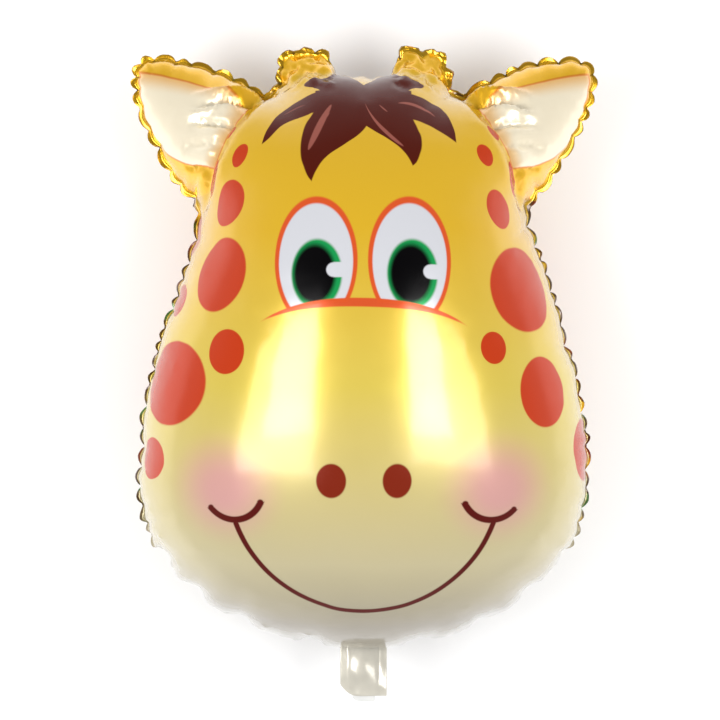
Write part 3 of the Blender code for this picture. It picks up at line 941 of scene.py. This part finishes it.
class Drawing:
    """Shapes drawn on the flat pattern, each as a share of ink from 0 to 1."""

    def __init__(self, graph):
        self.graph = graph
        place = graph.add("ShaderNodeUVMap", {"uv_map": "OFBake"})
        across = graph.add("ShaderNodeSeparateXYZ", {}, place)
        up = graph.add("ShaderNodeSeparateXYZ", {}, place, output=1)
        self.back = across.above(0.5)
        self.front = 1 - self.back
        self.x = (across - self.back * 0.5) * MAP_SIZE - MAP_X
        self.y = up * MAP_SIZE - MAP_Y
        self.spot = graph.add("ShaderNodeCombineXYZ", {}, self.x, self.y, 0.0)

    def oval(self, x, y, half_width, half_height, lean=0.0):
        """1 on the oval's line, less inside it."""
        placed = self.graph.add(
            "ShaderNodeMapping", {"vector_type": "TEXTURE"}, self.spot, (x, y, 0),
            (0, 0, math.radians(lean)), (half_width, half_height, 1),
        )
        return self.graph.add("ShaderNodeVectorMath", {"operation": "LENGTH"}, placed, output=1)

    def filled(self, x, y, half_width, half_height, lean=0.0, soft=0.0009):
        edge = soft / min(half_width, half_height)
        return self.oval(x, y, half_width, half_height, lean).ramp(1 + edge, 1 - edge)

    def curve(self, value, points):
        """A smooth curve through points, read at a value."""
        (low, _), (high, _) = points[0], points[-1]
        least = min(point[1] for point in points)
        most = max(point[1] for point in points)
        shares = [((a - low) / (high - low), (b - least) / (most - least)) for a, b in points]
        read = self.graph.add(
            "ShaderNodeFloatCurve", {"curve": shares}, 1.0, (value - low) / (high - low)
        )
        return read * (most - least) + least

    def inside(self, *depths, soft=0.0008):
        """Where every depth is over nothing."""
        return least_of(*depths).ramp(-soft, soft)

    def stroke(self, points, half_width, along_x=True, soft=0.0008):
        """A tapered stroke along a curve given as (x, y) points."""
        along, across = (self.x, self.y) if along_x else (self.y, self.x)
        if not along_x:
            points = [(y, x) for x, y in points]
        points = sorted(points)
        start, end = points[0][0], points[-1][0]
        share = (along - start) / (end - start)
        wide = (share * (1 - share) * 4).most(0.0).sqrt() * half_width
        off = abs(across - self.curve(along, points))
        between_ends = share.above(0.0) * share.below(1.0)
        return self.inside(wide - off - soft * 0.5, soft=soft) * between_ends

    def spots(self):
        """The coat's spots, and more of them on the back sheet."""
        coat, rear = (
            least_of(*(self.oval(*spot) for spot in spots)).ramp(1.03, 0.97)
            for spots in (SPOTS, BACK_SPOTS)
        )
        return coat.most(rear * self.back)

    def muzzle_line(self):
        """Height of the line over the muzzle, and the ink of the line."""
        x = self.x
        height = 0.3582 - x * 0.02 - x * x * 1.05 - x * x * x * x * 75
        wide = (1 - x * x / 0.0120).most(0.0) * 0.0043
        return height, self.inside(wide - abs(self.y - height)) * abs(x).ramp(0.108, 0.090)

    def lock(self, along, across, edge, facing_edge, start, end):
        """One lock of the forelock."""
        return self.inside(
            across - self.curve(along, edge), self.curve(along, facing_edge) - across,
            end - along, along - start,
        )

    def forelock(self):
        """The hair over the forehead, and the paler strokes in it."""
        x, y = self.x, self.y
        crown = self.inside(
            y - 0.5445 - (abs(x - 0.0025) - 0.055).most(0.0) * 4,
            0.052 - abs(x + 0.001), 0.6000 - y + abs(x) * 0.05,
        )
        tuft = self.inside(
            self.curve(abs(x), TUFT_TOP) - y, self.curve(y, TUFT_SIDE) - abs(x), y - 0.5900
        )
        hair = most_of(
            crown, tuft, *(self.lock(y, x, *lock) for lock in INNER_LOCKS),
            *(self.lock(x, y, *lock) for lock in OUTER_LOCKS),
        )
        light = most_of(*(
            self.stroke(points, half_width, along_x) * share
            for points, half_width, along_x, share in HAIR_STROKES
        ))
        return hair, light

    def eye(self, middle, ring, pupil, glint, glint_y):
        """Rim, white, green ring, black and glint of an eye."""
        x, y = self.x, self.y
        notch = self.inside(x - glint, 0.0074 - abs(y - glint_y), ring + 0.032 - x)
        return (
            self.filled(middle, 0.3998, 0.0416, 0.0652),
            self.filled(middle, 0.3986, 0.0371, 0.0591),
            self.filled(ring, 0.3867, 0.0252, 0.0344, soft=0.0016),
            self.filled(pupil, 0.3866, 0.0210, 0.0295, soft=0.0030),
            self.filled(glint, glint_y, 0.0071, 0.0071).most(notch),
        )

    def smile(self):
        """The line of the mouth with a hook at each end."""
        x, y = self.x, self.y
        oval = self.oval(0.0010, 0.1866, 0.1380, 0.1461)
        wide = 0.0030 - (0.1382 - y).most(0.0) * 0.004
        lines = [self.inside(wide - abs(oval - 1) * 0.142, 0.1392 - y)]
        for middle, height, radius, left, right, rise in SMILE_ENDS:
            ring = self.graph.add(
                "ShaderNodeVectorMath", {"operation": "DISTANCE"}, self.spot,
                (middle, height, 0), output=1,
            )
            depth = (radius * radius - left * left) ** 0.5 * 0.95
            under = (height - depth) + (x - middle) * rise - y
            lines.append(self.inside(0.0034 - abs(ring - radius), under))
            for end in (left, right):
                tip_y = height - depth + end * rise
                reach = math.copysign((radius ** 2 - (height - tip_y) ** 2) ** 0.5, end)
                lines.append(self.filled(middle + reach, tip_y, 0.0035, 0.0035))
        return most_of(*lines)

    def ear_depth(self):
        """How far out a place is from the line where the ear leaves the head."""
        return abs(self.x) - self.curve(self.y, EAR_ROOT_LINE)

    def ear_shade(self):
        """How far a place is from the cream panel's upper edge and from the head."""
        return (self.curve(abs(self.x), PANEL_TOP) - self.y).least(self.ear_depth())

    def ear_panel(self):
        """How deep a place is inside the cream panel of an ear."""
        across = abs(self.x)
        low = self.curve(across, PANEL_LOW)
        return least_of(self.y - low, PANEL_REACH - across, self.ear_shade())


def printed_foil(colours):
    """Glossy film over a metal layer, with the face printed on it."""
    graph = ShaderGraph(bpy.data.materials.new("printed_foil"))
    draw = Drawing(graph)
    x, y, front = draw.x, draw.y, draw.front
    ink_of = {name: linear(getattr(colours, name)) for name in colours.__annotations__}

    cloudy = graph.add("ShaderNodeTexNoise", {}, draw.spot, None, 9.0, 2.0, 0.5)
    height = y + (cloudy - 0.5) * 0.02
    colour = graph.add(
        "ShaderNodeValToRGB", {"stops": [(place, ink_of[name]) for place, name in COAT_STOPS]},
        (height - COAT_START) / COAT_LENGTH,
    )
    ear = draw.inside(draw.ear_depth()) * y.above(0.494)
    horn = y.ramp(0.645, 0.651) * abs(x).above(0.038) * abs(x).below(0.125)
    gold = ear.most(horn)
    spots = draw.spots() * (1 - gold)
    cheeks = least_of(*(draw.oval(*cheek) for cheek in CHEEKS))
    blush = (1 - cheeks).most(0.0).ramp(0.0, 0.85) * 0.62 * front
    line_height, muzzle_line = draw.muzzle_line()
    shown = draw.inside(y - line_height) * front
    rims, whites, rings, pupils, glints = (
        most_of(*pair) * shown for pair in zip(*(draw.eye(*eye) for eye in EYES))
    )
    nostrils = most_of(*(draw.filled(*nostril) for nostril in NOSTRILS)) * front
    smile = draw.smile() * front
    hair, hair_light = draw.forelock()
    hair = hair * (1 - gold)
    for share, name in (
        (spots, "spot"), (blush, "blush"), (rims, "outline"), (whites, "eye"),
        (rings, "iris"), (pupils, "pupil"), (glints, "eye"), (muzzle_line * front, "outline"),
        (nostrils, "nostril"), (smile, "mouth"), (hair, "hair"),
        (hair * hair_light * front, "hair_light"), (gold, "gold"),
    ):
        colour = graph.mix(share, colour, ink_of[name])

    panel_depth = draw.ear_panel()
    panel = draw.inside(panel_depth - 0.0012) * front
    edge = draw.inside(0.0014 - abs(panel_depth - 0.0006)) * front * ear
    # Painted reflection: the ear's cream turns peach towards the panel's upper edge and the
    # ear's root
    cream = graph.mix(draw.ear_shade().ramp(0.0, 0.022), ink_of["ear_edge"], ink_of["ear"])
    colour = graph.mix(panel, colour, cream)
    colour = graph.mix(edge * 0.55, colour, ink_of["outline"])

    margin, fold = (
        graph.add("ShaderNodeAttribute", {"attribute_name": name}, output=2)
        for name in ("margin_share", "fold_share")
    )
    patches = graph.add(
        "ShaderNodeTexNoise", {}, draw.spot, None, 30.0, 1.0, 0.5, output=1
    )
    gold_patch, ink_patch = (
        graph.add("ShaderNodeSeparateXYZ", {}, patches, output=channel) for channel in (0, 1)
    )
    seam_colour = graph.mix(gold_patch.ramp(0.60, 0.70), ink_of["margin"], ink_of["gold"])
    seam_colour = graph.mix(ink_patch.ramp(0.58, 0.66) * 0.8, seam_colour, ink_of["nostril"])
    seam_colour = graph.mix(ink_patch.ramp(0.42, 0.34) * 0.5, seam_colour, ink_of["iris"])
    # The margin is drawn dark with patches of gold, red brown and green; on the gold of ears
    # and horns it is laid thinner as painted shade: a quarter dark everywhere, darkest in the
    # notches between tabs and along its outer edge
    rimmed = margin.ramp(0.10, 0.25) * y.ramp(0.05, 0.14)
    shaded = (0.25 + fold.ramp(0.25, 0.65) * 0.55).most(margin.ramp(0.55, 0.95) * 0.70)
    dark = (rimmed * (1 - gold)).most(rimmed * gold * shaded)
    colour = graph.mix(dark * 0.95, colour, seam_colour)

    ink = most_of(spots, hair, rims, smile, nostrils)
    fine = graph.add("ShaderNodeTexNoise", {}, draw.spot, None, 42.0, 1.5, 0.5)
    rough = 0.22 - ink * 0.06 + gold * 0.02 + panel * 0.02
    gold_metal = gold * (0.26 + margin.ramp(0.0, 0.1) * 0.24)
    graph.set(
        Base_Color=colour,
        Metallic=0.30 - ink * 0.04 + gold_metal - panel * 0.18,
        Roughness=rough + (fine - 0.5) * 0.06,
        Coat_Weight=0.85 - ink * 0.55 - hair * 0.25 - pupils * 0.25,
        Coat_Roughness=0.10,
        Specular_IOR_Level=0.35,
        Normal=graph.add("ShaderNodeBump", {}, 0.03, 0.002, None, fine),
    )
    return graph.owner


class BALLOON_OT_skin(bpy.types.Operator):
    """Cuts, seals and fills the two printed sheets"""

    bl_idname = "balloon.skin"
    bl_label = "Foil skin"

    def execute(self, context):
        shape = context.scene.balloon_shape
        filled = both_sides(bezier_chain(SEAM_LINE))
        seam, target = fitted_pattern(filled, shape)
        sheet = Sheet(seam, shape.fine_step, shape.coarse_step)
        spots = sheet.fill(sheet.cushion(target, FIRST_DEPTH), shape.fill_steps)
        mesh, seam, out = skin_mesh(sheet, spots, shape.margin)
        skin = smoothed("foil_skin", mesh)
        pucker(skin.data, sheet, seam, out, shape)
        skin.data.materials.append(printed_foil(context.scene.print_colours))
        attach(skin, "root")
        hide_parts("envelope")
        return {"FINISHED"}


def thin_bag(name, width, start, end, cut, bulge, thickness, rows, columns, crinkle, seed):
    """Two films sealed along their sides: a neck or a valve, lying along y."""
    u, v = np.meshgrid(np.linspace(-1, 1, columns), np.linspace(0, 1, rows))
    x = u * width / 2
    y = start + (end + cut * np.clip((-0.3 - u) / 0.7, 0, 1) ** 2 - start) * v
    swell = bulge(u, v)
    wave = np.zeros_like(x)
    for i in range(rows):
        for j in range(columns):
            where = Vector((x[i, j] * 34 + y[i, j] * 16, y[i, j] * 24, seed))
            wave[i, j] = noise.noise(where) + 0.16 * noise.noise(where * 2.6)
    wave *= crinkle * fade(v, 0.0, 0.35)
    top = np.stack([x, y, wave + thickness / 2 + swell], -1).reshape(-1, 3)
    bottom = np.stack([x, y, wave - thickness / 2 - swell], -1).reshape(-1, 3)
    points = np.vstack([top, bottom]) + np.array(CHIN)
    below = rows * columns
    faces = []
    for i in range(rows - 1):
        for j in range(columns - 1):
            a = i * columns + j
            quad = (a, a + 1, a + 1 + columns, a + columns)
            faces += [quad[::-1], tuple(below + k for k in quad)]
    border = list(range(columns))
    border += [i * columns + columns - 1 for i in range(1, rows)]
    border += [(rows - 1) * columns + j for j in range(columns - 2, -1, -1)]
    border += [i * columns for i in range(rows - 2, 0, -1)]
    for a, b in zip(border, border[1:] + border[:1]):
        faces.append((a, b, below + b, below + a))
    mesh = bpy.data.meshes.new(name)
    mesh.from_pydata(points.tolist(), [], faces)
    shell = bmesh.new()
    shell.from_mesh(mesh)
    bmesh.ops.recalc_face_normals(shell, faces=shell.faces)
    shell.to_mesh(mesh)
    shell.free()
    places = [(points[k][0] * 4 + 0.5, points[k][1] * 4 + 1.6)
              for k in (loop.vertex_index for loop in mesh.loops)]
    mesh.uv_layers.new(name="film").data.foreach_set("uv", np.ravel(places))
    mesh.shade_smooth()
    return smoothed(name, mesh)


def milky_film(name, colour, metal, clear):
    """Unprinted film, pale and glossy, with fine crinkles."""
    graph = ShaderGraph(bpy.data.materials.new(name))
    place = graph.add("ShaderNodeTexCoord", {}, output=3)
    fine = graph.add("ShaderNodeTexNoise", {}, place, None, 90.0, 3.0, 0.6)
    cloudy = graph.add("ShaderNodeTexNoise", {}, place, None, 28.0, 2.0, 0.5)
    pale = [level * 0.82 for level in colour[:3]] + [1.0]
    graph.set(
        Base_Color=graph.mix(cloudy.ramp(0.35, 0.65), pale, colour),
        Metallic=metal,
        Roughness=0.22 + (fine - 0.5) * 0.12,
        Coat_Weight=0.7,
        Coat_Roughness=0.06,
        Transmission_Weight=clear,
        Normal=graph.add("ShaderNodeBump", {}, 0.08, 0.002, None, fine),
    )
    return graph.owner


class BALLOON_OT_neck(bpy.types.Operator):
    """Makes the filling neck with its sealed sides and the valve film in it"""

    bl_idname = "balloon.neck"
    bl_label = "Neck and valve"

    def execute(self, context):
        def channel(u, v):
            across = np.clip(1 - (np.abs(u) / 0.66) ** 2, 0, 1) ** 0.8
            return across * (0.0085 * (1 - v) ** 1.5 + 0.0022)

        neck = thin_bag(
            "neck_tab", width=0.049, start=0.020, end=-0.0505, cut=0.012, bulge=channel,
            thickness=0.0010, rows=34, columns=30, crinkle=0.0034, seed=4.0,
        )
        film = milky_film("clear_neck", linear((0.90, 0.88, 0.82)), metal=0.25, clear=0.15)
        neck.data.materials.append(film)
        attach(neck, "root")
        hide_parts("envelope")

        def flat(u, v):
            return np.clip(1 - u * u, 0, 1) * 0.0006 * (1 - v)

        valve = thin_bag(
            "valve_film", width=0.024, start=-0.020, end=-0.0560, cut=0.004, bulge=flat,
            thickness=0.0005, rows=16, columns=10, crinkle=0.0014, seed=9.0,
        )
        film = milky_film("milky_film", linear((0.93, 0.93, 0.92)), metal=0.0, clear=0.3)
        valve.data.materials.append(film)
        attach(valve, "root")
        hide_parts("filling_valve")
        return {"FINISHED"}


FLOOR_HALF = 6
# The studio's glow from level with the balloon to straight over it
SKY_STOPS = (
    (0.0, (0.80, 0.80, 0.81, 1)), (0.14, (0.70, 0.70, 0.71, 1)),
    (0.40, (0.36, 0.36, 0.37, 1)), (0.65, (0.20, 0.20, 0.21, 1)),
    (1.0, (0.05, 0.05, 0.06, 1)),
)
SKY_STRENGTH = 0.8
# The wide soft light from above, left out of the foil's reflections
CEILING_POWER, CEILING_ANGLE = 1.70, 110
# Soft boxes at both sides: place, width and depth, power
SOFT_BOXES = (
    ("left_box", (-0.98, -0.12, 1.62), (1.12, 0.96), 11),
    ("left_core", (-0.74, 0.0, 1.60), (0.60, 0.68), 6.5),
    ("right_box", (0.98, -0.09, 1.62), (1.16, 0.86), 9),
    ("right_core", (0.64, -0.02, 1.60), (0.44, 0.66), 6.0),
)
# What the camera looks straight down at, from the tip of the chin
PICTURE_X, PICTURE_Y = -0.0037, 0.3024
FILM_WIDTH = 36


class BALLOON_OT_stage(bpy.types.Operator):
    """Lays the pale floor and sets the lights and the camera"""

    bl_idname = "balloon.stage"
    bl_label = "Studio"

    def execute(self, context):
        studio = context.scene.studio_settings
        shell = bmesh.new()
        bmesh.ops.create_grid(shell, x_segments=1, y_segments=1, size=FLOOR_HALF)
        mesh = bpy.data.meshes.new("floor")
        shell.to_mesh(mesh)
        shell.free()
        floor = new_object("floor", mesh)
        graph = ShaderGraph(bpy.data.materials.new("floor"))
        graph.set(Base_Color=(*studio.floor_colour, 1), Roughness=0.9)
        mesh.materials.append(graph.owner)

        sky = ShaderGraph(bpy.data.worlds.new("studio"), "Background")
        height = sky.add(
            "ShaderNodeSeparateXYZ", {}, sky.add("ShaderNodeTexCoord", {}), output=2
        )
        glow = sky.add("ShaderNodeValToRGB", {"stops": SKY_STOPS}, height)
        sky.set(Color=glow, Strength=SKY_STRENGTH)
        context.scene.world = sky.owner

        sun = bpy.data.lights.new("ceiling", "SUN")
        sun.energy, sun.angle = CEILING_POWER, math.radians(CEILING_ANGLE)
        ceiling = new_object("ceiling", sun)
        ceiling.visible_glossy = False

        for name, place, size, power in SOFT_BOXES:
            light = bpy.data.lights.new(name, "AREA")
            light.shape = "RECTANGLE"
            light.size, light.size_y = size
            light.energy = power
            lamp = new_object(name, light)
            lamp.location = place

        camera = bpy.data.cameras.new("camera")
        camera.lens = FILM_WIDTH * studio.camera_height / studio.picture_width
        camera.clip_end = 50
        view = new_object("camera", camera)
        view.location = (PICTURE_X, CHIN.y + PICTURE_Y, SEAM_HEIGHT + studio.camera_height)
        context.scene.camera = view
        context.scene.view_settings.view_transform = "Standard"
        return {"FINISHED"}


class BALLOON_PT_panel(bpy.types.Panel):
    """Lists the balloon's pieces and its studio"""

    bl_idname = "BALLOON_PT_panel"
    bl_label = "Foil balloon"
    bl_space_type = "VIEW_3D"
    bl_region_type = "UI"
    bl_category = "Balloon"

    def draw(self, context):
        for operator in OPERATORS:
            self.layout.operator(operator.bl_idname)


OPERATORS = (BALLOON_OT_skin, BALLOON_OT_neck, BALLOON_OT_stage)
CLASSES = (BalloonShape, PrintColours, StudioSettings, *OPERATORS, BALLOON_PT_panel)


def register():
    for item in CLASSES:
        bpy.utils.register_class(item)
    bpy.types.Scene.balloon_shape = PointerProperty(type=BalloonShape)
    bpy.types.Scene.print_colours = PointerProperty(type=PrintColours)
    bpy.types.Scene.studio_settings = PointerProperty(type=StudioSettings)


def unregister():
    del bpy.types.Scene.studio_settings
    del bpy.types.Scene.print_colours
    del bpy.types.Scene.balloon_shape
    for item in reversed(CLASSES):
        bpy.utils.unregister_class(item)


def main():
    register()
    bpy.context.view_layer.update()
    for operator in OPERATORS:
        group, name = operator.bl_idname.split(".")
        getattr(getattr(bpy.ops, group), name)()
    bpy.context.view_layer.update()


if __name__ == "__main__":
    main()
